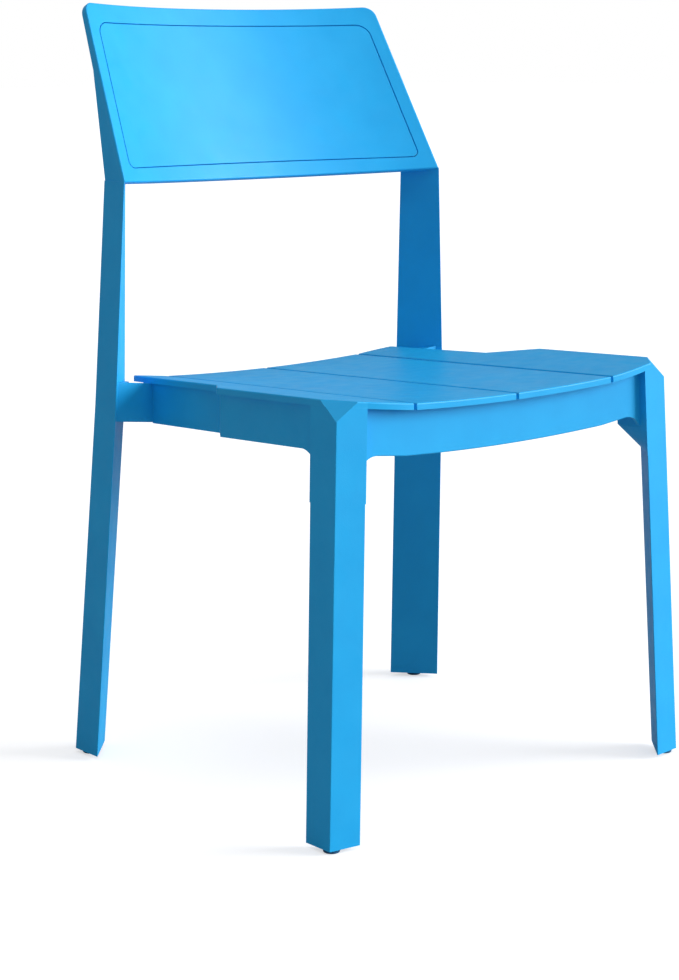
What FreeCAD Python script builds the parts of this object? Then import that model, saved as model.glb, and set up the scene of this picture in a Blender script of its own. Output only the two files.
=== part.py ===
"""Stacking chair: four seat boards on a bolted frame, wedge-shaped legs and a curved, reclined back.

Frame: +Z up, floor at z = 0, the chair faces -Y and is symmetric about x = 0.  The pieces are drawn with
y = 0 on the middle of the seat's front edge and are moved at the end, so that the origin ends up under the
middle of the whole chair.  The left side is the side at -X.  All sizes are in millimetres and degrees.
"""
import FreeCAD, Part
import math
import os
from FreeCAD import Rotation, Vector

os.makedirs("parts", exist_ok=True)

# ---------------------------------------------------------------- seat
seat_height = 431.0          # seat surface above the floor at the middle of its front edge
seat_depth = 427.0           # front edge to rear edge
seat_half_width = 243.0      # centre line to the outer edge of the wide front part
seat_fall = 2.5              # the seat drops towards the back by this angle
slat_thickness = 7.0
slot_width = 4.2             # open slots between the four boards
inner_pair_half = 146.0      # centre line to the middle of each outer slot
inner_rise = 3.8             # the two middle boards curve up by this much at the outer slots
outer_tilt = 6.5             # the outer boards tilt up by this angle
wide_part_depth = 205.0      # front edge to the point where the seat starts to narrow
taper_depth = 52.0           # length of the slanting step between the wide and the narrow part
front_bow = 7.0              # the front edge draws back by this much at the legs
narrow_taper = 7.0           # the narrow part draws in by this much on its way to the rear edge
rear_bow = 6.0               # the rear edge draws forward by this much at the outer corners
seat_leg_gap = 3.5           # side gap between the narrow part of the seat and the rear legs
lip_overhang = 4.0           # the boards stand out this far past the side rails
rear_overhang = 40.0         # the boards stand out this far behind the front face of the rear rail
slat_edge_round = 1.4
slat_corner_round = 2.0

# ---------------------------------------------------------------- rails and bearers
front_rail_height = 48.0
side_rail_height = 45.0
rear_rail_height = 44.0
rail_wall = 4.5
front_rail_setback = 14.5    # front edge of the seat to the front face of the front rail
rail_flange_width = 18.0     # inward flange along the top of the rails
rail_flange_thickness = 4.0
end_plate_thickness = 5.0
end_plate_width = 28.0
gusset_drop = 13.0           # rounded gusset of a rail beside each front leg
gusset_length = 19.0
rail_edge_round = 1.2
bearer_positions = (140.0, 315.0)    # middle of each cross bearer behind the front edge
bearer_width = 32.0
bearer_height = 24.0
bearer_wall = 4.0
bearer_end_gap = 1.0         # bearer to the side rail's flange
tab_length = 14.0            # bearer's end tab below the side rail's flange

# ---------------------------------------------------------------- legs
glide_height = 4.0           # part of the glide below the leg
leg_wall = 4.0
foot_plate = 6.0
front_leg_width = 37.0       # front face
front_leg_depth = 40.0       # side face at the seat
front_foot_depth = 37.5      # side face at the foot
front_leg_toe = 4.5          # the inner edge of the front face stands this much further forward
front_leg_splay = 14.0       # the foot stands out sideways
front_leg_rake = 6.0         # the foot stands forward
corner_cut_side = 25.0       # slanting cut over the outer front corner of the leg, along the side
corner_cut_front = 25.5      # the same along the front
corner_cut_height = 21.0     # the same down the corner
rear_leg_setback = 49.5      # rear edge of the seat to the front edge of the upright at its bend
knee_below_seat = 36.0       # the rear leg is straight from the floor to its knee and from there to the bend
rear_foot_depth = 43.6       # side face of the rear leg at the foot
rear_knee_depth = 41.0       # the same at the knee
rear_bend_depth = 39.8       # the same at the bend
rear_foot_width = 41.0       # rear face of the rear leg at the foot
rear_knee_width = 42.0       # the same at the knee
rear_bend_width = 29.8       # the same at the bend
knee_splay = 9.0             # the knee stands out sideways from the bend
foot_splay = 10.6            # the foot stands out sideways from the knee
knee_rake = 3.7              # the knee stands back from the bend
foot_rake = 20.7             # the foot stands back from the knee
leg_edge_round = 0.9         # square edges of the legs
leg_tip_round = 0.5          # sharp edges of the legs
solid_below_bend = 30.0      # the upright is solid from here up
rear_skew = 0.03             # the rear face turns a little: its inner edge stands further back by this share
leg_head_drop = 16.0         # the square head of the front leg reaches this far below the front rail
leg_head_blend = 30.0        # below that it runs out into the three-sided leg

# ---------------------------------------------------------------- backrest
bend_above_seat = 215.0      # seat surface at the front edge to the bend of the uprights
back_narrowing = 3.1         # the bend is this much nearer to the centre line than the seat's edge
back_recline = 25.6          # backrest surface from the vertical
back_length = 229.0          # bend to top corner along the slope
back_taper = 17.5            # the top corner is this much nearer to the centre line than the bend
back_hollow = 50.0           # depth of the sideways curve
back_top_arch = 14.5         # how far the top edge rises along the slope in the middle
back_bottom_arch = 18.0      # the same for the bottom edge
back_corner_round = 17.0
back_thickness = 6.0
panel_ledge = 2.0            # thickness of the ledge behind the panel
panel_ledge_width = 9.0
rim_side = 17.0
rim_top = 23.0
rim_bottom = 19.0
panel_top_round = 20.0
panel_bottom_round = 8.0
panel_gap = 1.2              # groove round the panel
back_edge_round = 1.8
panel_edge_round = 0.4
side_wall_top = 16.5         # side face of the upright at the top, across the slope
side_wall_merge = 0.60       # share of the slope where the side face reaches that depth

# ---------------------------------------------------------------- fasteners and glides
bolt_diameter = 6.0
bolt_head_diameter = 11.0
bolt_head_height = 4.0
bolt_socket = 4.0            # hexagon socket across flats
bolt_socket_depth = 2.4
bolt_clearance = 0.4
nut_across_flats = 10.0
nut_height = 5.0
bolt_overrun = 1.0           # bolt end past the nut
bolt_pitch = 20.0            # height between the two bolts of a joint
rear_bolt_place = 0.56       # share of the rear leg's slanting face, from its front edge
board_screw_spread = (35.0, 110.0)   # screws of the middle boards from the centre line
outer_screw_inset = 18.0     # screws of the outer boards from the outer slot
slat_screw_diameter = 3.5
slat_screw_head = 7.5
slat_screw_head_height = 2.4
slat_screw_bite = 5.0        # length inside the board
screw_clearance = 0.3
back_screw_diameter = 4.0
back_screw_head = 8.0
back_screw_head_height = 3.0
back_screw_bite = 4.0
back_screw_grip = 6.0        # upright between the screw head and the backrest
back_screw_slopes = (35.0, 85.0)
back_screw_inset = 13.0      # from the side edge of the backrest
panel_screw_diameter = 2.6
panel_screw_head = 6.0
panel_screw_head_height = 1.6
panel_screw_bite = 2.8
panel_screw_places = (-140.0, 0.0, 140.0)    # screws along the top and bottom of the panel
glide_diameter = 17.0
glide_stem_diameter = 8.0
glide_stem_length = 14.0
glide_stem_clearance = 0.2
glide_edge_round = 1.2

# ---------------------------------------------------------------- values that follow from the sizes above
UP = Vector(0, 0, 1)
fall = math.tan(math.radians(seat_fall))
tilt = math.tan(math.radians(outer_tilt))
reach = seat_half_width + 60.0               # half width of the construction layers
bend_x = seat_half_width - back_narrowing
bend_y = seat_depth - rear_leg_setback
bend_z = seat_height + bend_above_seat
knee_z = seat_height - knee_below_seat
rail_y = front_rail_setback
rear_rail_y = seat_depth - rear_overhang
leg_front_y = front_bow + 3.0                # outer edge of the front leg's front face at the seat


def seat_rise(x):
    """Height of the seat surface at x above its height on the centre line."""
    x = abs(x)
    if x <= inner_pair_half:
        return inner_rise * (x / inner_pair_half) ** 2
    return inner_rise + (x - inner_pair_half) * tilt


def seat_z(x, y):
    """Height of the seat surface."""
    return seat_height - y * fall + seat_rise(x)


def polygon(points):
    """Closed wire through the points."""
    return Part.makePolygon([Vector(*p) for p in points] + [Vector(*points[0])])


def prism(outline, bottom, top):
    """Upright prism over a plan outline given as (x, y) points."""
    face = Part.Face(polygon([(x, y, bottom) for x, y in outline]))
    return face.extrude(UP * (top - bottom))


def loft(sections):
    """Straight-sided solid through polygons with the same number of corners."""
    return Part.makeLoft([polygon(s) for s in sections], True, True)


def mirrored(shape):
    """The same piece on the other side of the chair."""
    return shape.mirror(Vector(0, 0, 0), Vector(1, 0, 0))


def cylinder(diameter, start, end):
    """Round bar between two points."""
    axis = end - start
    return Part.makeCylinder(diameter / 2, axis.Length, start, axis)


def rounded(shape, radius, wanted):
    """Fillet the edges for which wanted(edge) is true."""
    edges = [e for e in shape.Edges if wanted(e)]
    return shape.makeFillet(radius, edges) if edges else shape


def middle(edge):
    """Point half way along an edge."""
    return edge.valueAt((edge.FirstParameter + edge.LastParameter) / 2)


def single(shape):
    """The one solid inside a boolean's result."""
    solids = sorted(shape.Solids, key=lambda s: s.Volume)
    return solids[-1]


def seat_layer(upper, lower):
    """Everything between two surfaces that lie below the seat surface by upper and by lower."""
    def edge_of(drop):
        h = seat_height - drop
        rise = seat_rise(reach)
        left = Part.LineSegment(Vector(-reach, 0, h + rise), Vector(-inner_pair_half, 0, h + inner_rise))
        arc = Part.Arc(Vector(-inner_pair_half, 0, h + inner_rise), Vector(0, 0, h),
                       Vector(inner_pair_half, 0, h + inner_rise))
        right = Part.LineSegment(Vector(inner_pair_half, 0, h + inner_rise), Vector(reach, 0, h + rise))
        return [left.toShape(), arc.toShape(), right.toShape()]
    top = edge_of(upper)
    bottom = edge_of(lower)
    sides = [Part.LineSegment(top[i].Vertexes[j].Point, bottom[i].Vertexes[j].Point).toShape()
             for i, j in ((0, 0), (2, 1))]
    face = Part.Face(Part.Wire(Part.__sortEdges__(top + bottom + sides)))
    start = -60.0
    length = seat_depth + 120.0
    face.translate(Vector(0, start, -start * fall))
    return face.extrude(Vector(0, length, -length * fall))


above_seat = seat_layer(-80.0, 0.0)
board_layer = seat_layer(0.0, slat_thickness)


# ================================================================ front legs
def front_leg_corner(z):
    """Outer front corner of the right front leg at a height, as (x, y)."""
    share = (seat_height - z) / (seat_height - glide_height)
    return seat_half_width + front_leg_splay * share, leg_front_y - front_leg_rake * share


def front_leg_rear_y(z):
    """Rear edge of the leg's side face at a height."""
    share = (seat_height - z) / (seat_height - glide_height)
    return front_leg_corner(z)[1] + front_leg_depth + (front_foot_depth - front_leg_depth) * share


def front_leg_section(z, inset=0.0):
    """Triangle: outer front corner, inner front corner, outer rear corner."""
    x, y = front_leg_corner(z)
    corners = [(x, y), (x - front_leg_width, y - front_leg_toe), (x, front_leg_rear_y(z))]
    return [(px, py, z) for px, py in inset_outline(corners, inset)]


def head_section(z, inset=0.0):
    """The leg's head is the triangle made up to a four-sided section, so that both rails meet a flat wall."""
    x, y = front_leg_corner(z)
    rear = front_leg_rear_y(z)
    inner = x - front_leg_width
    fill = (z - head_bottom + leg_head_blend) / leg_head_blend
    share = 0.48 + 0.52 * min(1.0, fill)
    corners = [(x, y), (inner, y - front_leg_toe),
               (x - front_leg_width * share, y - front_leg_toe + (rear - y + front_leg_toe) * share), (x, rear)]
    return [(px, py, z) for px, py in inset_outline(corners, inset)]


def inset_outline(corners, inset):
    """Convex outline moved inwards by a wall thickness."""
    if inset == 0.0:
        return corners
    n = len(corners)
    area = sum(corners[i][0] * corners[(i + 1) % n][1] - corners[(i + 1) % n][0] * corners[i][1]
               for i in range(n))
    side = 1.0 if area > 0 else -1.0
    lines = []
    for i in range(n):
        (ax, ay), (bx, by) = corners[i], corners[(i + 1) % n]
        length = math.hypot(bx - ax, by - ay)
        nx, ny = -(by - ay) / length * side, (bx - ax) / length * side
        lines.append((nx, ny, nx * ax + ny * ay + inset))
    result = []
    for i in range(n):
        (a, b, c), (d, e, f) = lines[i - 1], lines[i]
        det = a * e - b * d
        result.append(((c * e - b * f) / det, (a * f - c * d) / det))
    return result


def leg_edges(body, corner):
    """Long edges of a leg: the square one, along corner(z), and the two sharp ones."""
    square, tips = [], []
    for edge in body.Edges:
        if edge.Length > 150:
            point = middle(edge)
            x, y = corner(point.z)
            (square if math.hypot(point.x - x, point.y - y) < 3 else tips).append(edge)
    return square, tips


def incentre(corners):
    """Centre of the circle that touches all three sides of a triangle."""
    a, b, c = [Vector(x, y, 0) for x, y in corners]
    la, lb, lc = (b - c).Length, (c - a).Length, (a - b).Length
    return (a * la + b * lb + c * lc) * (1 / (la + lb + lc))


head_x = seat_half_width - front_leg_width                  # inner wall of the head at the seat
head_bottom = seat_z(head_x, rail_y) - slat_thickness - front_rail_height - leg_head_drop
above = seat_height + 60.0
head_blank = loft([head_section(z) for z in (head_bottom - leg_head_blend, head_bottom, above)])


def corner_cutter(inset):
    """Block that cuts off the leg's top corner along a plane through a point on each of its three edges."""
    cx, cy = front_leg_corner(seat_z(seat_half_width, leg_front_y))
    cz = seat_z(cx, cy)
    side_point = Vector(cx, cy + corner_cut_side, seat_z(cx, cy + corner_cut_side))
    front_y = cy - front_leg_toe * corner_cut_front / front_leg_width
    front_point = Vector(cx - corner_cut_front, front_y, seat_z(cx - corner_cut_front, front_y))
    lx, ly = front_leg_corner(cz - corner_cut_height)
    low_point = Vector(lx, ly, cz - corner_cut_height)
    out = (side_point - low_point).cross(front_point - low_point).normalize()
    if out.x < 0:
        out = out * -1
    cutter = Part.makeBox(120, 120, 80, Vector(-60, -60, 0))
    cutter.Placement = FreeCAD.Placement(low_point - out * inset, Rotation(UP, out))
    return cutter


def make_front_leg(board):
    """Right front leg; board is the uncut outer board, whose edges the head of the leg continues."""
    body = loft([front_leg_section(z) for z in (glide_height, above)])
    body = body.makeFillet(leg_edge_round, leg_edges(body, front_leg_corner)[0])
    body = body.makeFillet(leg_tip_round, leg_edges(body, front_leg_corner)[1])
    head = rounded(head_blank, leg_edge_round, lambda e: e.Length > 60 and middle(e).y < leg_front_y + 5
                   and middle(e).x > head_x + 10)
    leg = body.fuse(head).cut(above_seat)
    leg = leg.cut(board_layer.common(head_blank).cut(board))
    leg = leg.cut(corner_cutter(0.0))
    # hollow inside, with a wall left at the foot, below the head, under the seat and behind the corner cut
    hollow = loft([front_leg_section(z, leg_wall) for z in (glide_height + foot_plate, above)])
    room = loft([head_section(z, leg_wall) for z in (head_bottom + leg_wall, above)])
    hollow = hollow.fuse(room).cut(corner_cutter(leg_wall)).cut(seat_layer(-80.0, slat_thickness))
    return single(leg.cut(hollow))


# ================================================================ rear legs with the uprights of the back


def rear_leg_section(z, inset=0.0):
    """Triangle: outer front corner, outer rear corner, inner rear corner."""
    if z > knee_z:
        share = (bend_z - z) / (bend_z - knee_z)
        x, y = bend_x + knee_splay * share, bend_y + knee_rake * share
        depth = rear_bend_depth + (rear_knee_depth - rear_bend_depth) * share
        width = rear_bend_width + (rear_knee_width - rear_bend_width) * share
    else:
        share = (knee_z - z) / (knee_z - glide_height)
        x, y = bend_x + knee_splay + foot_splay * share, bend_y + knee_rake + foot_rake * share
        depth = rear_knee_depth + (rear_foot_depth - rear_knee_depth) * share
        width = rear_knee_width + (rear_foot_width - rear_knee_width) * share
    corners = [(x, y), (x, y + depth), (x - width, y + depth + width * rear_skew)]
    return [(px, py, z) for px, py in inset_outline(corners, inset)]


def on_back(x, slope, depth=0.0):
    """Point in the backrest's own frame: sideways, along the slope and across it (positive = behind)."""
    c, s = math.cos(math.radians(back_recline)), math.sin(math.radians(back_recline))
    return Vector(x, bend_y + slope * s + depth * c, bend_z + slope * c - depth * s)


def upright_section(slope, x, depth):
    """Section of the upright behind the edge of the backrest, parallel to the floor."""
    front = on_back(x, slope)
    rear_y = front.y + depth / math.cos(math.radians(back_recline))
    inner = x - rear_bend_width
    return [(front.x, front.y, front.z), (x, rear_y, front.z),
            (inner, rear_y + rear_bend_width * rear_skew, front.z), (inner - 8.0, front.y, front.z)]


def round_corner(before, corner, after, radius):
    """Arc that rounds one corner of an outline."""
    one, two = (before - corner).normalize(), (after - corner).normalize()
    half = one.getAngle(two) / 2
    inwards = (one + two).normalize()
    reach_in = radius / math.tan(half)
    crown = corner + inwards * (radius / math.sin(half) - radius)
    return Part.Arc(corner + one * reach_in, crown, corner + two * reach_in)


def rounded_outline(points, radii):
    """Closed wire through the points with every corner rounded."""
    corners = [Vector(*p) for p in points]
    n = len(corners)
    arcs = [round_corner(corners[i - 1], corners[i], corners[(i + 1) % n], radii[i]).toShape()
            for i in range(n)]
    edges = []
    for i in range(n):
        end = arcs[i].Vertexes[-1].Point
        start = arcs[(i + 1) % n].Vertexes[0].Point
        edges += [arcs[i], Part.LineSegment(end, start).toShape()]
    return Part.Wire(edges)


rear_leg_blank = loft([rear_leg_section(z) for z in (glide_height, knee_z, bend_z)])


def make_rear_leg():
    hollow = loft([rear_leg_section(z, leg_wall)
                   for z in (glide_height + foot_plate, knee_z, bend_z - solid_below_bend)])
    radii = (leg_tip_round, leg_edge_round, leg_tip_round)
    outlines = [rounded_outline(rear_leg_section(z), radii) for z in (glide_height, knee_z, bend_z)]
    lower = Part.makeLoft(outlines, True, True)
    merge = back_length * side_wall_merge
    merge_x = bend_x - back_taper * side_wall_merge
    cos = math.cos(math.radians(back_recline))
    upper_low = loft([upright_section(0.0, bend_x, rear_bend_depth * cos),
                      upright_section(merge, merge_x, side_wall_top)])
    upper_high = loft([upright_section(merge, merge_x, side_wall_top),
                       upright_section(back_length + 30, bend_x - back_taper * (back_length + 30) / back_length,
                                       side_wall_top)])
    upper = upper_low.fuse(upper_high).common(outline_solid(back_outline(), 200.0)).cut(back_front_region)
    leg = lower.fuse(upper).removeSplitter()
    return single(leg.cut(hollow))


# ================================================================ backrest
back_radius = (bend_x ** 2 + back_hollow ** 2) / (2 * back_hollow)


def to_chair(shape):
    """Move a shape from the backrest's own frame (x, across, slope) into the chair."""
    moved = shape.copy()
    moved.Placement = FreeCAD.Placement(Vector(0, bend_y, bend_z), Rotation(Vector(1, 0, 0), -back_recline))
    return moved


def curved_layer(front, back):
    """Part of a round tube: the backrest's curved wall between two depths behind its front surface."""
    low, high = -80.0, back_length + 80.0
    axis = Vector(0, back_hollow - back_radius, low)
    outer = Part.makeCylinder(back_radius + back, high - low, axis, UP)
    inner = Part.makeCylinder(back_radius + front, high - low, axis, UP)
    slab = Part.makeBox(2 * reach, back_hollow + 60, high - low, Vector(-reach, -12, low))
    return outer.cut(inner).common(slab)


def back_outline(side=0.0, top=0.0, bottom=0.0, top_round=None, bottom_round=0.0):
    """Front outline of the backrest, or of something inside it, drawn on the plane of its side edges."""
    top_round = back_corner_round if top_round is None else top_round
    def half(slope):
        return bend_x - back_taper * slope / back_length - side
    low, high = bottom, back_length - top
    a, b = Vector(-half(low), 0, low), Vector(half(low), 0, low)
    c, d = Vector(half(high), 0, high), Vector(-half(high), 0, high)
    edges = [Part.Arc(a, Vector(0, 0, low + back_bottom_arch), b).toShape(),
             Part.LineSegment(b, c).toShape(),
             Part.Arc(c, Vector(0, 0, high + back_top_arch), d).toShape(),
             Part.LineSegment(d, a).toShape()]
    return Part.Face(Part.Wire(edges)), top_round, bottom_round, high


def outline_solid(outline, depth=200.0):
    """The outline pushed through the backrest, with rounded corners, in the chair."""
    face, top_round, bottom_round, high = outline
    face = face.copy()
    face.translate(Vector(0, -60, 0))
    solid = face.extrude(Vector(0, depth + 60, 0))
    across = [e for e in solid.Edges if abs(e.tangentAt(e.FirstParameter).y) > 0.99]
    top = [e for e in across if middle(e).z > high - 5]
    bottom = [e for e in across if middle(e).z <= high - 5]
    if top_round:
        solid = solid.makeFillet(top_round, top)
    if bottom_round:
        across = [e for e in solid.Edges if abs(e.tangentAt(e.FirstParameter).y) > 0.99]
        bottom = [e for e in across if middle(e).z < high / 2]
        solid = solid.makeFillet(bottom_round, bottom)
    return to_chair(solid)


def back_surface_depth(point):
    """Distance of a point from the backrest's front surface."""
    own = Rotation(Vector(1, 0, 0), back_recline).multVec(point - Vector(0, bend_y, bend_z))
    return abs(math.hypot(own.x, own.y - back_hollow + back_radius) - back_radius)


def on_groove(point):
    """True for a point on the front surface that is not on the outer edge of the backrest."""
    own = Rotation(Vector(1, 0, 0), back_recline).multVec(point - Vector(0, bend_y, bend_z))
    share = 1 - (own.x / bend_x) ** 2
    low = back_bottom_arch * share + rim_bottom / 2
    high = back_length + back_top_arch * share - rim_top / 2
    inside = low < own.z < high and abs(own.x) < back_half(own.z) - rim_side / 2
    return inside and back_surface_depth(point) < 0.01


back_front_region = to_chair(Part.makeCylinder(
    back_radius + back_thickness, back_length + 120,
    Vector(0, back_hollow - back_radius, -60), UP)).common(
    Part.makeBox(2 * reach, 400, 400, Vector(-reach, bend_y - 60, bend_z)))


def make_back_frame():
    wall = to_chair(curved_layer(0.0, back_thickness))
    blank = wall.common(outline_solid(back_outline()))
    pocket = to_chair(curved_layer(-5.0, back_thickness - panel_ledge)).common(outline_solid(
        back_outline(rim_side, rim_top, rim_bottom, panel_top_round, panel_bottom_round)))
    window_in = panel_ledge_width
    window = to_chair(curved_layer(-5.0, back_thickness + 5.0)).common(outline_solid(
        back_outline(rim_side + window_in, rim_top + window_in, rim_bottom + window_in,
                     panel_top_round - window_in / 2, panel_bottom_round)))
    blank = rounded(blank, back_edge_round, lambda e: e.Length > 10 and back_surface_depth(middle(e)) < 0.01)
    frame = single(blank.cut(pocket).cut(window))
    return rounded(frame, panel_edge_round, lambda e: on_groove(middle(e)))


def make_back_panel():
    wall = to_chair(curved_layer(0.0, back_thickness - panel_ledge))
    panel = single(wall.common(outline_solid(back_outline(
        rim_side + panel_gap, rim_top + panel_gap, rim_bottom + panel_gap,
        panel_top_round - panel_gap, panel_bottom_round - panel_gap))))
    return rounded(panel, panel_edge_round, lambda e: back_surface_depth(middle(e)) < 0.01)


# ================================================================ seat boards
def rear_leg_inner_x(z):
    """Innermost point of the rear leg at a height."""
    return min(p[0] for p in rear_leg_section(z))


seat_rear_half = rear_leg_inner_x(seat_z(seat_half_width, seat_depth)) - seat_leg_gap
taper_end = wide_part_depth + taper_depth


def narrow_half(y):
    """Half width of the narrow part of the seat at y."""
    return seat_rear_half - narrow_taper * (y - taper_end) / (seat_depth - taper_end)


def board_blank(outline):
    """Board cut from the seat layer, rounded along its upper and lower edges."""
    face = Part.Face(outline)
    solid = face.extrude(UP * 200).common(board_layer)
    return single(solid)


def make_middle_board():
    """Right one of the two boards beside the centre line."""
    z = seat_height - 120
    x0, x1 = slot_width / 2, inner_pair_half - slot_width / 2
    outline = polygon([(x0, 0, z), (x1, 0, z), (x1, seat_depth, z), (x0, seat_depth, z)])
    board = board_blank(outline)
    return rounded(board, slat_edge_round, lambda e: e.Length > 20 and on_top(middle(e)))


def on_top(point):
    """True for a point on the seat surface."""
    return abs(point.z - seat_z(point.x, point.y)) < 0.05


def make_outer_board():
    """Right outer board: wide in front, narrow between the rear legs, with the leg's head let in."""
    z = seat_height - 120
    x0 = inner_pair_half + slot_width / 2
    corner_x, corner_y = front_leg_corner(seat_height)
    bow = Part.Arc(Vector(x0, 0, z), Vector((x0 + head_x) / 2, 1.0, z),
                   Vector(head_x, corner_y - front_leg_toe, z))
    rear = seat_depth - rear_bow
    points = [(head_x, corner_y - front_leg_toe), (corner_x, corner_y), (seat_half_width, wide_part_depth),
              (seat_rear_half, taper_end), (narrow_half(rear), rear)]
    lines = [Part.LineSegment(Vector(*points[i], z), Vector(*points[i + 1], z)).toShape()
             for i in range(len(points) - 1)]
    rear_arc = Part.Arc(Vector(narrow_half(rear), rear, z),
                        Vector((x0 + seat_rear_half) / 2, seat_depth - rear_bow * 0.3, z),
                        Vector(x0, seat_depth, z))
    slot_side = Part.LineSegment(Vector(x0, seat_depth, z), Vector(x0, 0, z))
    board = board_blank(Part.Wire([bow.toShape()] + lines + [rear_arc.toShape(), slot_side.toShape()]))
    corners = [e for e in board.Edges if e.Length < slat_thickness + 2 and middle(e).y > wide_part_depth - 1
               and middle(e).x > x0 + 5]
    board = board.makeFillet(slat_corner_round, corners)
    return rounded(board, slat_edge_round, lambda e: e.Length > 3 and on_top(middle(e)))


# ================================================================ rails
def slab(x0, x1, y0, y1, upper, lower):
    """Straight bar between two seat layers, from x0 to x1 and from y0 to y1."""
    return prism([(x0, y0), (x1, y0), (x1, y1), (x0, y1)], 200, 600).common(seat_layer(upper, lower))


def gusset(start, corner, root, thickness):
    """Web in the angle between a rail and a front leg, with a hollow lower curve.

    start is on the rail's lower edge, corner is where that edge meets the leg, root lies inside the leg and
    thickness runs across the web.
    """
    tip = corner - UP * gusset_drop
    crown = start + (corner - start) * 0.63 - UP * gusset_drop * 0.35
    outline = [tip, Vector(root.x, root.y, tip.z), root, start + UP * rail_wall, start]
    edges = [Part.Arc(start, crown, tip).toShape()]
    edges += [Part.LineSegment(outline[i], outline[i + 1]).toShape() for i in range(len(outline) - 1)]
    return Part.Face(Part.Wire(edges)).extrude(thickness)


def make_front_rail():
    end = head_x + front_leg_splay
    lower = slat_thickness + front_rail_height
    wall = slab(-end, end, rail_y, rail_y + rail_wall, slat_thickness, lower)
    wall = rounded(wall, rail_edge_round, lambda e: e.Length > 100 and middle(e).y < rail_y + 1
                   and middle(e).z < seat_height - lower + 20)
    flange_bottom = slat_thickness + rail_flange_thickness
    rail = wall.fuse(slab(-end, end, rail_y + 1, rail_y + rail_flange_width, slat_thickness, flange_bottom))
    for side in (-1, 1):
        inner, outer = side * (head_x - end_plate_thickness), side * end
        plate_end = rail_y + rail_wall + end_plate_width
        rail = rail.fuse(slab(min(inner, outer), max(inner, outer), rail_y + 1, plate_end,
                              slat_thickness, lower))
        start, corner = [Vector(side * x, rail_y, seat_z(x, rail_y) - lower)
                         for x in (head_x - gusset_length, head_x)]
        root = Vector(outer, rail_y, corner.z + rail_wall)
        rail = rail.fuse(gusset(start, corner, root, Vector(0, rail_wall, 0)))
    return single(rail.cut(head_blank).cut(mirrored(head_blank)).removeSplitter())


def side_rail_path(offset):
    """Plan line of the right side rail, moved inwards from the edge of the seat."""
    taper = math.atan2(seat_half_width - seat_rear_half, taper_depth)
    shift = offset * math.tan(taper / 2)
    return [(seat_half_width - offset, leg_front_y + 20), (seat_half_width - offset, wide_part_depth - shift),
            (seat_rear_half - offset, taper_end - shift), (narrow_half(rear_rail_y) - offset, rear_rail_y)]


def make_side_rail():
    lower = slat_thickness + side_rail_height
    outer = side_rail_path(lip_overhang)
    inner = side_rail_path(lip_overhang + rail_wall)
    edge = side_rail_path(lip_overhang + rail_flange_width)
    wall = prism(outer + inner[::-1], 200, 600).common(seat_layer(slat_thickness, lower))
    flange = prism(outer + edge[::-1], 200, 600).common(
        seat_layer(slat_thickness, slat_thickness + rail_flange_thickness))
    front_x, rear_x = outer[0][0], outer[3][0]
    joint = front_leg_rear_y(seat_height - lower)
    front = slab(front_x - end_plate_width, front_x, joint - 20, joint + end_plate_thickness,
                 slat_thickness, lower)
    rear = slab(rear_x - end_plate_width, rear_x, rear_rail_y - end_plate_thickness, rear_rail_y,
                slat_thickness, lower)
    start, corner = [Vector(front_x, y, seat_z(front_x, y) - lower)
                     for y in (joint + gusset_length, joint)]
    web = gusset(start, corner, Vector(front_x, joint - 20, corner.z + rail_wall), Vector(-rail_wall, 0, 0))
    rail = wall.fuse(flange).fuse(front).fuse(rear).fuse(web).cut(head_blank)
    ahead = Part.makeBox(2 * reach, joint + 40, 600, Vector(-reach, -40, 0)).common(
        loft([[(x, y, z) for x, y in ((-reach, -40), (reach, -40), (reach, front_leg_rear_y(z)),
                                      (-reach, front_leg_rear_y(z)))] for z in (200.0, above)]))
    return single(rail.cut(ahead).removeSplitter())


def mitre_normal(z):
    """Direction in which the slanting inner face of the right rear leg looks: inwards and forwards."""
    a, _, b = [Vector(*p) for p in rear_leg_section(z)]
    along = (b - a).normalize()
    normal = Vector(-along.y, along.x, 0)
    return normal if normal.x < 0 else normal * -1


def make_rear_rail():
    lower = slat_thickness + rear_rail_height
    end = bend_x + knee_splay + foot_splay
    half = narrow_half(rear_rail_y) - lip_overhang
    wall = slab(-end, end, rear_rail_y, rear_rail_y + rail_wall, slat_thickness, lower)
    wall = rounded(wall, rail_edge_round, lambda e: e.Length > 20 and middle(e).y < rear_rail_y + 1
                   and middle(e).z < seat_z(middle(e).x, rear_rail_y) - lower + 5)
    flange = slab(-half, half, rear_rail_y + 1, rear_rail_y + rail_flange_width,
                  slat_thickness, slat_thickness + rail_flange_thickness)
    rail = wall.fuse(flange)
    behind = prism([(-reach, rear_rail_y + 1), (reach, rear_rail_y + 1), (reach, seat_depth + 50),
                    (-reach, seat_depth + 50)], 200, 600)
    for side in (-1, 1):
        outlines = []
        for z in (200.0, knee_z, above):
            a, _, b = [Vector(*p) for p in rear_leg_section(z)]
            along = (b - a).normalize()
            near, far = a - along * 20, b - along * 4
            normal = mitre_normal(z)
            corners = [near, far, far + normal * end_plate_thickness, near + normal * end_plate_thickness]
            outlines.append([(side * p.x, p.y, p.z) for p in corners])
        rail = rail.fuse(loft(outlines).common(seat_layer(slat_thickness, lower)).common(behind))
    # the ends stop at the outer faces of the legs
    inside = loft([[(-rear_leg_section(z)[0][0], -60, z), (rear_leg_section(z)[0][0], -60, z),
                    (rear_leg_section(z)[0][0], seat_depth + 60, z),
                    (-rear_leg_section(z)[0][0], seat_depth + 60, z)] for z in (200.0, knee_z, above)])
    return single(rail.common(inside).cut(rear_leg_blank).cut(mirrored(rear_leg_blank)).removeSplitter())


def bearer_half(y):
    """Half length of the cross bearer at y, without its end tabs."""
    edge = side_rail_path(lip_overhang + rail_flange_width)
    inner = edge[0][0] if y < wide_part_depth else (
        narrow_half(y + bearer_width / 2) - lip_overhang - rail_flange_width)
    return inner - bearer_end_gap


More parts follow.
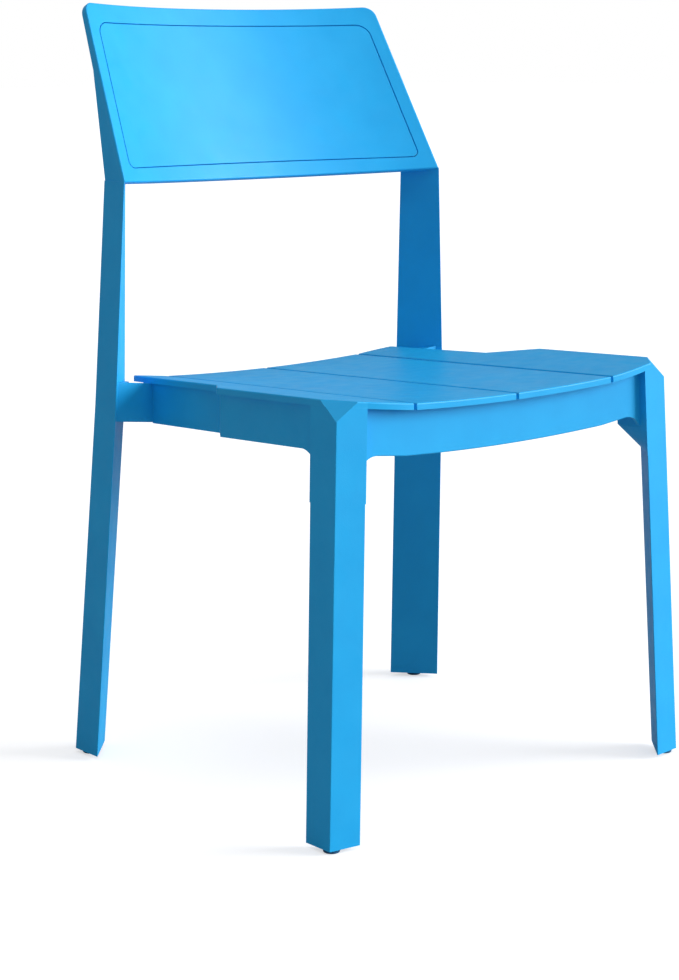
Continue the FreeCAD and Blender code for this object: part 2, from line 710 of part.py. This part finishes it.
def make_bearer(y):
    """Cross bearer: an upside-down channel with a tab at each end below the side rails' flanges."""
    half = bearer_half(y)
    y0, y1 = y - bearer_width / 2, y + bearer_width / 2
    top, bottom = slat_thickness, slat_thickness + bearer_height
    tab_top = slat_thickness + rail_flange_thickness
    bearer = slab(-half, half, y0, y1, top, top + bearer_wall)
    bearer = bearer.fuse(slab(-half, half, y0, y0 + bearer_wall, top, bottom))
    bearer = bearer.fuse(slab(-half, half, y1 - bearer_wall, y1, top, bottom))
    for x0, x1 in ((-half - tab_length, -half + bearer_wall), (half - bearer_wall, half + tab_length)):
        bearer = bearer.fuse(slab(x0, x1, y0, y1, tab_top, tab_top + bearer_wall))
    return single(bearer.removeSplitter())


# ================================================================ fasteners
def make_bolt(seat, direction, grip):
    """Bolt with a socket head; seat is the point under the head, direction points into the joint."""
    length = grip + nut_height + bolt_overrun
    bolt = cylinder(bolt_diameter, seat, seat + direction * length)
    head = cylinder(bolt_head_diameter, seat, seat - direction * bolt_head_height)
    socket = hexagon(bolt_socket, seat - direction * bolt_head_height, direction * bolt_socket_depth)
    return bolt.fuse(head).cut(socket).removeSplitter()


def hexagon(across_flats, start, span):
    """Hexagonal bar from start along span."""
    radius = across_flats / math.sqrt(3)
    points = [Vector(radius * math.cos(math.radians(60 * k)), radius * math.sin(math.radians(60 * k)), 0)
              for k in range(7)]
    bar = Part.Face(Part.makePolygon(points)).extrude(UP * span.Length)
    bar.Placement = FreeCAD.Placement(start, Rotation(UP, span))
    return bar


def make_nut(seat, direction, grip):
    """Nut that the bolt screws into, on the far side of the joint."""
    start = seat + direction * grip
    nut = hexagon(nut_across_flats, start, direction * nut_height)
    return nut.cut(cylinder(bolt_diameter, start - direction, start + direction * (nut_height + 1)))


def seat_normal(x):
    """Upward normal of the seat surface."""
    step = 0.1
    gradient = (seat_rise(x + step) - seat_rise(x - step)) / (2 * step)
    return Vector(-gradient, fall, 1).normalize()


def make_slat_screw(x, y, stack):
    """Screw driven up through the frame (stack thick) into a board; returns the screw and its hole."""
    normal = seat_normal(x)
    surface = Vector(x, y, seat_z(x, y))
    under = surface - normal * (slat_thickness + stack)
    tip = surface - normal * (slat_thickness - slat_screw_bite)
    shank = cylinder(slat_screw_diameter, under, tip)
    head = cylinder(slat_screw_head, under - normal * slat_screw_head_height, under)
    hole = cylinder(slat_screw_diameter + screw_clearance, under - normal, tip).fuse(
        cylinder(slat_screw_head + 1, under - normal * (slat_screw_head_height + 0.6), under))
    return shank.fuse(head).removeSplitter(), hole


def rail_joints():
    """Bolted joints of the right side: group, pieces, point under the bolt's head, direction and grip."""
    joints = []
    steps = (-bolt_pitch / 2, bolt_pitch / 2)
    # front rail to the inner wall of the front leg's head
    y = rail_y + rail_wall + end_plate_width / 2
    z_mid = seat_z(head_x, y) - slat_thickness - front_rail_height / 2
    for z in [z_mid + step for step in steps]:
        wall = front_leg_corner(z)[0] - front_leg_width
        plate = wall - (head_x - end_plate_thickness)
        joints.append(("front_rail_bolts", ("front_rail", "front_leg"), Vector(wall - plate, y, z),
                       Vector(1, 0, 0), plate + leg_wall))
    # side rail to the rear wall of the head
    x = seat_half_width - lip_overhang - (end_plate_width + rail_wall) / 2
    joint = front_leg_rear_y(seat_height - slat_thickness - side_rail_height)
    z_mid = seat_z(x, joint) - slat_thickness - side_rail_height / 2
    for z in [z_mid + step for step in steps]:
        plate = joint + end_plate_thickness - front_leg_rear_y(z)
        joints.append(("side_rail_bolts", ("side_rail", "front_leg"), Vector(x, joint + end_plate_thickness, z),
                       Vector(0, -1, 0), plate + leg_wall))
    # side rail to the rear rail
    x = narrow_half(rear_rail_y) - lip_overhang - (end_plate_width + rail_wall) / 2
    z_mid = seat_z(x, rear_rail_y) - slat_thickness - rear_rail_height / 2
    for z in [z_mid + step for step in steps]:
        joints.append(("side_rail_bolts", ("side_rail", "rear_rail"),
                       Vector(x, rear_rail_y - end_plate_thickness, z), Vector(0, 1, 0),
                       end_plate_thickness + rail_wall))
    # rear rail to the slanting inner face of the rear leg
    z_mid = seat_z(bend_x, rear_rail_y) - slat_thickness - rear_rail_height / 2
    for z in [z_mid + step for step in steps]:
        a, _, b = [Vector(*p) for p in rear_leg_section(z)]
        normal = mitre_normal(z)
        joints.append(("rear_leg_bolts", ("rear_rail", "rear_leg"),
                       a + (b - a) * rear_bolt_place + normal * end_plate_thickness, normal * -1,
                       end_plate_thickness + leg_wall))
    return joints


def bolt_hole(seat, direction, grip):
    """Clearance hole with a flat seat cut for the bolt's head and another for the nut."""
    hole = cylinder(bolt_diameter + bolt_clearance, seat - direction, seat + direction * (grip + nut_height))
    head_seat = cylinder(bolt_head_diameter + 1, seat - direction * (bolt_head_height + 1), seat)
    nut_seat = cylinder(nut_across_flats * 2 / math.sqrt(3) + 1, seat + direction * grip,
                        seat + direction * (grip + nut_height + bolt_overrun))
    return hole.fuse(head_seat).fuse(nut_seat)


def board_screws():
    """Screws of one half of the seat: (board, supporting piece or pieces, screw, hole)."""
    result = []
    rows = [("front_rail", rail_y + rail_flange_width * 0.6),
            ("rear_rail", rear_rail_y + rail_flange_width * 0.6),
            ("front_bearer", bearer_positions[0]),
            ("rear_bearer", bearer_positions[1])]
    for support, y in rows:
        for x in board_screw_spread:
            result.append(("middle", (support,), make_slat_screw(x, y, bearer_wall)))
        outer_x = inner_pair_half + outer_screw_inset
        if support != "rear_bearer":
            result.append(("outer", (support,), make_slat_screw(outer_x, y, bearer_wall)))
        if support.endswith("bearer"):
            tab_x = bearer_half(y) + tab_length / 2
            result.append(("outer", (support, "side_rail"),
                           make_slat_screw(tab_x, y, rail_flange_thickness + bearer_wall)))
    return result


def back_depth(x):
    """Depth of the backrest's front surface at x behind the plane of its side edges."""
    return back_hollow - back_radius + math.sqrt(back_radius ** 2 - x ** 2)


def back_half(slope):
    """Half width of the backrest at a place along its slope."""
    return bend_x - back_taper * slope / back_length


def make_back_screw(slope):
    """Screw from behind through the right upright into the backrest frame, and its stepped hole."""
    x = back_half(slope) - back_screw_inset
    depth = back_depth(x) + back_thickness
    tip = on_back(x, slope, depth - back_screw_bite)
    seat = on_back(x, slope, depth + back_screw_grip)
    out = on_back(x, slope, depth + 60)
    back = (out - seat).normalize()
    screw = cylinder(back_screw_diameter, tip, seat).fuse(
        cylinder(back_screw_head, seat, seat + back * back_screw_head_height))
    hole = cylinder(back_screw_diameter + screw_clearance, on_back(x, slope, depth - back_thickness), seat).fuse(
        cylinder(back_screw_head + 2 * screw_clearance, seat, out))
    return screw.removeSplitter(), hole


def make_panel_screws():
    """Screws through the ledge into the panel from behind."""
    ledge = panel_ledge_width / 2
    places = []
    for x in panel_screw_places:
        share = 1 - (x / bend_x) ** 2
        places.append((x, rim_bottom + back_bottom_arch * share + ledge))
        places.append((x, back_length - rim_top + back_top_arch * share - ledge))
    screws = []
    for x, slope in places:
        angle = math.asin(x / back_radius)

        def at(radius):
            return on_back(radius * math.sin(angle), slope, back_hollow - back_radius + radius * math.cos(angle))
        under = at(back_radius + back_thickness)
        tip = at(back_radius + back_thickness - panel_ledge - panel_screw_bite)
        top = at(back_radius + back_thickness + panel_screw_head_height)
        screw = cylinder(panel_screw_diameter, tip, under).fuse(cylinder(panel_screw_head, under, top))
        screws.append(screw.removeSplitter())
    return screws


def make_glide(section):
    """Round glide with a stem that plugs into the foot plate; section is the foot's triangle."""
    centre = incentre([(x, y) for x, y, z in section])
    pad = cylinder(glide_diameter, centre, centre + UP * glide_height)
    pad = rounded(pad, glide_edge_round, lambda e: middle(e).z < 0.01)
    stem = cylinder(glide_stem_diameter, centre, centre + UP * (glide_height + glide_stem_length))
    hole = cylinder(glide_stem_diameter + 2 * glide_stem_clearance, centre, centre + UP * (glide_height + foot_plate))
    return pad.fuse(stem).removeSplitter(), hole


# ================================================================ make the pieces
outer_board = make_outer_board()
right = {
    "front_leg": make_front_leg(outer_board),
    "rear_leg": make_rear_leg(),
    "seat_board_middle": make_middle_board(),
    "seat_board_outer": single(outer_board.cut(head_blank).cut(corner_cutter(0.0))),
    "side_rail": make_side_rail(),
}
whole = {
    "front_rail": make_front_rail(),
    "rear_rail": make_rear_rail(),
    "front_bearer": make_bearer(bearer_positions[0]),
    "rear_bearer": make_bearer(bearer_positions[1]),
    "backrest_frame": make_back_frame(),
    "backrest_panel": make_back_panel(),
}
groups = {"front_rail_bolts": [], "side_rail_bolts": [], "rear_leg_bolts": [], "frame_nuts": [],
          "seat_board_screws": [], "backrest_screws": [], "panel_screws": make_panel_screws()}

# bolts and nuts, with their holes in the frame
for group, joined, seat, direction, grip in rail_joints():
    hole = bolt_hole(seat, direction, grip)
    for piece in joined:
        if piece in right:
            right[piece] = single(right[piece].cut(hole))
        else:
            whole[piece] = single(whole[piece].cut(hole).cut(mirrored(hole)))
    bolt, nut = make_bolt(seat, direction, grip), make_nut(seat, direction, grip)
    groups[group] += [bolt, mirrored(bolt)]
    groups["frame_nuts"] += [nut, mirrored(nut)]

# screws of the seat boards
for board, supports, (screw, hole) in board_screws():
    right["seat_board_" + board] = single(right["seat_board_" + board].cut(screw))
    for piece in supports:
        if piece in right:
            right[piece] = single(right[piece].cut(hole))
        else:
            whole[piece] = single(whole[piece].cut(hole).cut(mirrored(hole)))
    groups["seat_board_screws"] += [screw, mirrored(screw)]

# the uprights are cut to the backrest that lies on them, then the screws go in
right["rear_leg"] = single(right["rear_leg"].cut(whole["backrest_frame"]))
for slope in back_screw_slopes:
    screw, hole = make_back_screw(slope)
    right["rear_leg"] = single(right["rear_leg"].cut(hole))
    whole["backrest_frame"] = single(whole["backrest_frame"].cut(screw).cut(mirrored(screw)))
    groups["backrest_screws"] += [screw, mirrored(screw)]
for screw in groups["panel_screws"]:
    whole["backrest_frame"] = single(whole["backrest_frame"].cut(screw))
    whole["backrest_panel"] = single(whole["backrest_panel"].cut(screw))

# glides
for leg, section in (("front", front_leg_section(glide_height)), ("rear", rear_leg_section(glide_height))):
    glide, hole = make_glide(section)
    right[leg + "_leg"] = single(right[leg + "_leg"].cut(hole))
    right[leg + "_glide"] = glide

pieces = dict(whole)
for name, shape in right.items():
    pieces[name + "_right"] = shape
    pieces[name + "_left"] = mirrored(shape)
for name, shapes in groups.items():
    pieces[name] = Part.makeCompound(shapes)

# the origin goes under the middle of the whole chair
box = Part.makeCompound(list(pieces.values())).optimalBoundingBox()
to_origin = Vector(0, -(box.YMin + box.YMax) / 2, 0)
for name, shape in sorted(pieces.items()):
    shape.translate(to_origin)
    shape.exportStep("parts/" + name + ".step")
print("overall", round(box.XLength, 2), round(box.YLength, 2), round(box.ZLength, 2), "front edge at y =",
      round(to_origin.y, 2))
for name, shape in sorted(pieces.items()):
    print(name, len(shape.Solids), shape.isValid(), round(shape.Volume / 1000, 2))
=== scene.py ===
"""Stacking chair in azure plastic: materials, light and camera.

Everything is in metres in the chair's own frame: +Z up, floor at z = 0, the chair faces -Y.
"""
import math

import bpy
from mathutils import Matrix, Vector

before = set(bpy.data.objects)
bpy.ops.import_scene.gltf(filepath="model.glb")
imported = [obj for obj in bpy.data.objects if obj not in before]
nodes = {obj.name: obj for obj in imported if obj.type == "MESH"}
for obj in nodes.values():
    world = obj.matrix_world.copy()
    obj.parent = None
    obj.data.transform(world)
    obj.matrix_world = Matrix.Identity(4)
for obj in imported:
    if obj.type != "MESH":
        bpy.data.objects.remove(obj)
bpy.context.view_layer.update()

scene = bpy.context.scene
bpy.ops.object.select_all(action="DESELECT")


# ---------------------------------------------------------------- camera
# Level camera a little below the top of the backrest, off the chair's front left corner.  It looks level and
# its frame is shifted down to take in the feet, so that upright edges stay upright.
camera_place = Vector((-1.6912, -1.9562, 0.7903))
camera_heading = math.radians(-40.51)       # from straight ahead (+Y) towards +X
camera_lens = 82.95                         # millimetres
camera_sensor_height = 36.0
camera_shift_down = -0.4465

camera_data = bpy.data.cameras.new("camera")
camera_data.sensor_fit = "VERTICAL"
camera_data.sensor_height = camera_sensor_height
camera_data.lens = camera_lens
camera_data.shift_y = camera_shift_down
camera = bpy.data.objects.new("camera", camera_data)
camera.location = camera_place
camera.rotation_euler = (math.radians(90), 0, camera_heading)
scene.collection.objects.link(camera)
scene.camera = camera


# ---------------------------------------------------------------- studio
# A pale, plain floor that runs into a white backdrop.  A broad, fairly low key light comes from the front
# right, a weaker one from overhead, and an even fill from all round.
floor_size = 80.0
floor_colour = (0.62, 0.62, 0.63)
floor_glow = 0.60                           # keeps the floor as pale as the backdrop
floor_bounce_colour = (0.42, 0.42, 0.42)    # what the floor throws back onto the chair
fill_strength = 0.345
backdrop_strength = 1.0
key_direction = (0.72, -0.62, 0.30)
key_strength = 3.50
key_spread = math.radians(34)
top_direction = (0.1, -0.2, 1.0)
top_strength = 0.80
top_spread = math.radians(60)

bpy.ops.mesh.primitive_plane_add(size=floor_size, location=(0, 0, 0))
floor = bpy.context.active_object
floor.name = "floor"
floor_paint = bpy.data.materials.new("floor_paint")
floor_paint.use_nodes = True
floor_nodes, floor_links = floor_paint.node_tree.nodes, floor_paint.node_tree.links
floor_shader = floor_nodes["Principled BSDF"]
floor_shader.inputs["Roughness"].default_value = 0.9
floor_shader.inputs["Specular IOR Level"].default_value = 0.1
floor_shader.inputs["Emission Color"].default_value = (1, 1, 1, 1)
floor_shader.inputs["Emission Strength"].default_value = floor_glow
floor_place = floor_nodes.new("ShaderNodeTexCoord")
floor_cloud = floor_nodes.new("ShaderNodeTexNoise")
floor_cloud.inputs["Scale"].default_value = 1.5
floor_tone = floor_nodes.new("ShaderNodeMix")
floor_tone.data_type = "RGBA"
floor_tone.inputs["A"].default_value = (*[c * 0.98 for c in floor_colour], 1)
floor_tone.inputs["B"].default_value = (*floor_colour, 1)
floor_links.new(floor_place.outputs["Object"], floor_cloud.inputs["Vector"])
floor_links.new(floor_cloud.outputs["Fac"], floor_tone.inputs["Factor"])
floor_links.new(floor_tone.outputs["Result"], floor_shader.inputs["Base Color"])
bounce = floor_nodes.new("ShaderNodeBsdfDiffuse")
bounce.inputs["Color"].default_value = (*floor_bounce_colour, 1)
seen = floor_nodes.new("ShaderNodeLightPath")
floor_mix = floor_nodes.new("ShaderNodeMixShader")
floor_links.new(seen.outputs["Is Camera Ray"], floor_mix.inputs["Fac"])
floor_links.new(bounce.outputs["BSDF"], floor_mix.inputs[1])
floor_links.new(floor_shader.outputs["BSDF"], floor_mix.inputs[2])
floor_links.new(floor_mix.outputs["Shader"], floor_nodes["Material Output"].inputs["Surface"])
floor.data.materials.append(floor_paint)

world = bpy.data.worlds.new("studio")
scene.world = world
world.use_nodes = True
sky_nodes, sky_links = world.node_tree.nodes, world.node_tree.links
fill = sky_nodes["Background"]
fill.inputs["Color"].default_value = (1, 1, 1, 1)
fill.inputs["Strength"].default_value = fill_strength
backdrop = sky_nodes.new("ShaderNodeBackground")
backdrop.inputs["Color"].default_value = (1, 1, 1, 1)
backdrop.inputs["Strength"].default_value = backdrop_strength
sky_path = sky_nodes.new("ShaderNodeLightPath")
sky_mix = sky_nodes.new("ShaderNodeMixShader")
sky_links.new(sky_path.outputs["Is Camera Ray"], sky_mix.inputs["Fac"])
sky_links.new(fill.outputs["Background"], sky_mix.inputs[1])
sky_links.new(backdrop.outputs["Background"], sky_mix.inputs[2])
sky_links.new(sky_mix.outputs["Shader"], sky_nodes["World Output"].inputs["Surface"])

for light_name, direction, strength, spread in (
        ("key_light", key_direction, key_strength, key_spread),
        ("top_light", top_direction, top_strength, top_spread)):
    light = bpy.data.lights.new(light_name, "SUN")
    light.energy = strength
    light.angle = spread
    lamp = bpy.data.objects.new(light_name, light)
    lamp.location = Vector(direction) * 3
    lamp.rotation_euler = Vector(direction).to_track_quat("Z", "Y").to_euler()
    scene.collection.objects.link(lamp)
scene.view_settings.view_transform = "Standard"


# ---------------------------------------------------------------- seat boards
# Four flat boards of through-coloured plastic with open slots between them, screwed down from below.  Their
# tops are rubbed a little smoother than the frame.
azure = (0.012, 0.42, 0.86)
azure_deep = (0.010, 0.385, 0.82)
# pale azure for the painted highlight along edges
azure_edge_highlight = (0.030, 0.48, 0.90)
satin_specular = 0.22
edge_radius = 0.0015
seat_roughness = (0.36, 0.48)


def tone_mix(tree, factor, low, high):
    """Mix of two colours by a varying factor."""
    mix = tree.nodes.new("ShaderNodeMix")
    mix.data_type = "RGBA"
    mix.inputs["A"].default_value = (*low, 1)
    mix.inputs["B"].default_value = (*high, 1)
    tree.links.new(factor, mix.inputs["Factor"])
    return mix


def spread_of(tree, value, low, high, start=0.3, end=0.7):
    """Value taken from start..end to low..high."""
    reach = tree.nodes.new("ShaderNodeMapRange")
    reach.inputs["From Min"].default_value = start
    reach.inputs["From Max"].default_value = end
    reach.inputs["To Min"].default_value = low
    reach.inputs["To Max"].default_value = high
    tree.links.new(value, reach.inputs["Value"])
    return reach.outputs["Result"]


def noise_of(tree, vector, scale, detail):
    """Cloud noise of one size."""
    noise = tree.nodes.new("ShaderNodeTexNoise")
    noise.inputs["Scale"].default_value = scale
    noise.inputs["Detail"].default_value = detail
    tree.links.new(vector, noise.inputs["Vector"])
    return noise.outputs["Fac"]


def moulded_surface():
    """Node group of a moulded surface: mottling, fine pebble grain, rubbed patches and an edge mask for a
    painted edge highlight.
    """
    group = bpy.data.node_groups.new("moulded_surface", "ShaderNodeTree")
    for output in ("Mottle", "Patches", "Grain", "Edge"):
        group.interface.new_socket(output, in_out="OUTPUT", socket_type="NodeSocketFloat")
    out = group.nodes.new("NodeGroupOutput")
    place = group.nodes.new("ShaderNodeTexCoord").outputs["Object"]
    group.links.new(spread_of(group, noise_of(group, place, 22.0, 4.0), 0.0, 1.0), out.inputs["Mottle"])
    group.links.new(spread_of(group, noise_of(group, place, 55.0, 3.0), 0.0, 1.0), out.inputs["Patches"])
    group.links.new(noise_of(group, place, 850.0, 2.0), out.inputs["Grain"])
    # an edge is where a softened normal turns away from the true one; this mask sets where the painted edge
    # highlight goes
    soft = group.nodes.new("ShaderNodeBevel")
    soft.samples = 4
    soft.inputs["Radius"].default_value = edge_radius
    true = group.nodes.new("ShaderNodeNewGeometry")
    compare = group.nodes.new("ShaderNodeVectorMath")
    compare.operation = "DOT_PRODUCT"
    group.links.new(soft.outputs["Normal"], compare.inputs[0])
    group.links.new(true.outputs["Normal"], compare.inputs[1])
    group.links.new(spread_of(group, compare.outputs["Value"], 1.0, 0.0, 0.80, 0.99), out.inputs["Edge"])
    return group


surface_group = moulded_surface()


def plastic_material(name, low, high, edge, roughness, grain_height, coat):
    """Satin plastic; low and high are the ends of the mottling, edge is the colour of the painted highlight
    along edges.
    """
    material = bpy.data.materials.new(name)
    material.use_nodes = True
    tree = material.node_tree
    shader = tree.nodes["Principled BSDF"]
    surface = tree.nodes.new("ShaderNodeGroup")
    surface.node_tree = surface_group
    base = tone_mix(tree, surface.outputs["Mottle"], low, high)
    # paler colour mixed in along the edges: a painted highlight
    painted_edge_highlight = tone_mix(tree, spread_of(tree, surface.outputs["Edge"], 0.0, 0.45, 0.0, 1.0), low, edge)
    tree.links.new(base.outputs["Result"], painted_edge_highlight.inputs["A"])
    tree.links.new(painted_edge_highlight.outputs["Result"], shader.inputs["Base Color"])
    tree.links.new(spread_of(tree, surface.outputs["Patches"], roughness[0], roughness[1], 0.0, 1.0),
                   shader.inputs["Roughness"])
    shader.inputs["Specular IOR Level"].default_value = satin_specular
    shader.inputs["Coat Weight"].default_value = coat
    shader.inputs["Coat Roughness"].default_value = 0.35
    bump = tree.nodes.new("ShaderNodeBump")
    bump.inputs["Strength"].default_value = 0.35
    bump.inputs["Distance"].default_value = grain_height
    tree.links.new(surface.outputs["Grain"], bump.inputs["Height"])
    tree.links.new(bump.outputs["Normal"], shader.inputs["Normal"])
    return material


def dress(material, *names):
    """Give pieces their material."""
    for name in names:
        for material_slot in nodes[name].material_slots:
            material_slot.material = material


seat_plastic = plastic_material("seat_plastic", azure_deep, azure, azure_edge_highlight, seat_roughness, 0.00022, 0.0)
dress(seat_plastic, "seat_board_outer_left", "seat_board_middle_left", "seat_board_middle_right",
      "seat_board_outer_right")


# ---------------------------------------------------------------- legs
# Wedge-shaped hollow front legs with a square head under the seat, and rear legs that run on as the uprights
# of the backrest.  They carry the moulding's grain and a painted highlight along their edges.
leg_roughness = (0.40, 0.52)

leg_plastic = plastic_material("leg_plastic", azure_deep, azure, azure_edge_highlight, leg_roughness, 0.00025, 0.0)
dress(leg_plastic, "front_leg_left", "front_leg_right", "rear_leg_left", "rear_leg_right")


# ---------------------------------------------------------------- rails and bearers
# Four rails bolted round the frame under the boards and two cross bearers between the side rails.
rail_roughness = (0.40, 0.52)

rail_plastic = plastic_material("rail_plastic", azure_deep, azure, azure_edge_highlight, rail_roughness, 0.00025, 0.0)
dress(rail_plastic, "front_rail", "rear_rail", "side_rail_left", "side_rail_right", "front_bearer",
      "rear_bearer")


# ---------------------------------------------------------------- backrest
# A curved frame screwed to the uprights, with a smooth panel let into it behind a narrow groove.
back_roughness = (0.34, 0.46)

back_plastic = plastic_material("back_plastic", azure_deep, azure, azure_edge_highlight, back_roughness, 0.00018, 0.04)
dress(back_plastic, "backrest_frame", "backrest_panel")


# ---------------------------------------------------------------- glides
# Dark blue nylon pads pushed into the feet, painted paler along their edges as a painted highlight.
nylon = (0.012, 0.085, 0.20)
nylon_pale = (0.020, 0.14, 0.30)
nylon_edge_highlight = (0.10, 0.22, 0.34)
nylon_roughness = (0.34, 0.58)

glide_plastic = plastic_material("glide_plastic", nylon, nylon_pale, nylon_edge_highlight, nylon_roughness,
                                 0.0002, 0.0)
dress(glide_plastic, "front_glide_left", "front_glide_right", "rear_glide_left", "rear_glide_right")


# ---------------------------------------------------------------- bolts, nuts and screws
# Zinc-plated steel, dulled in clouds, with a painted highlight along its edges.
steel = (0.50, 0.51, 0.53)
steel_dull = (0.38, 0.39, 0.40)
steel_edge_highlight = (0.68, 0.69, 0.71)
steel_roughness = (0.26, 0.44)

zinc = plastic_material("zinc", steel_dull, steel, steel_edge_highlight, steel_roughness, 0.00005, 0.0)
zinc.node_tree.nodes["Principled BSDF"].inputs["Metallic"].default_value = 1.0
dress(zinc, "front_rail_bolts", "side_rail_bolts", "rear_leg_bolts", "frame_nuts", "seat_board_screws",
      "backrest_screws", "panel_screws")
